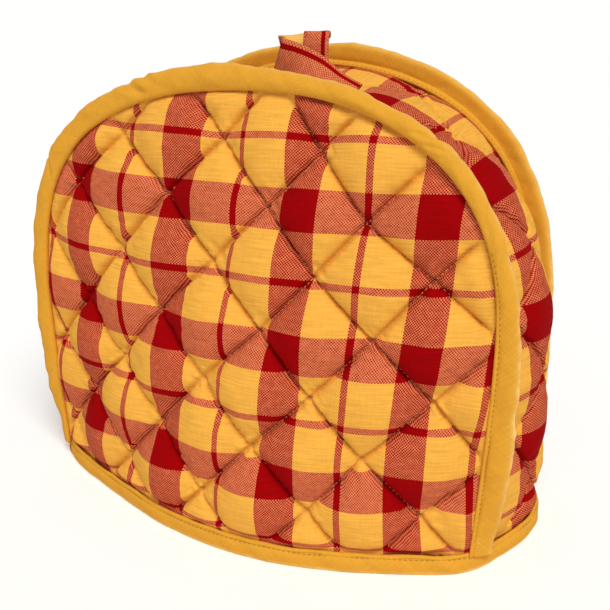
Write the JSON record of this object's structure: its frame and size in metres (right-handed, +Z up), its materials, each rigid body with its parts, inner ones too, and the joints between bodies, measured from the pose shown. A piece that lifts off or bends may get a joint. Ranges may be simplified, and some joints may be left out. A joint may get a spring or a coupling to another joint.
{
  "type": "tea cosy",
  "caption": "Quilted check cotton tea cosy: two padded panels and a padded gusset, bound seams and hem, and a hanging loop, to keep a teapot warm.",
  "frame": {"origin": "on the floor, under the middle of the cosy's bounding box", "axes": "+Z up; the front panel faces -Y; +X to the right, along the cosy's width"},
  "size_m": [0.2966, 0.1664, 0.2581],
  "materials": {
    "quilted_check": "plain-woven check cotton in mustard yellow and deep red, quilted over wadding, matt",
    "plain_binding": "plain-woven mustard cotton bias strip, matt",
    "loop_check": "strip of the check cotton, folded and stitched, matt"
  },
  "bodies": {
    "root": {"front_panel": "quilted_check", "back_panel": "quilted_check", "gusset": "quilted_check", "front_binding": "plain_binding", "back_binding": "plain_binding", "hem_binding": "plain_binding", "hanging_loop": "loop_check"}
  },
  "joints": []
}
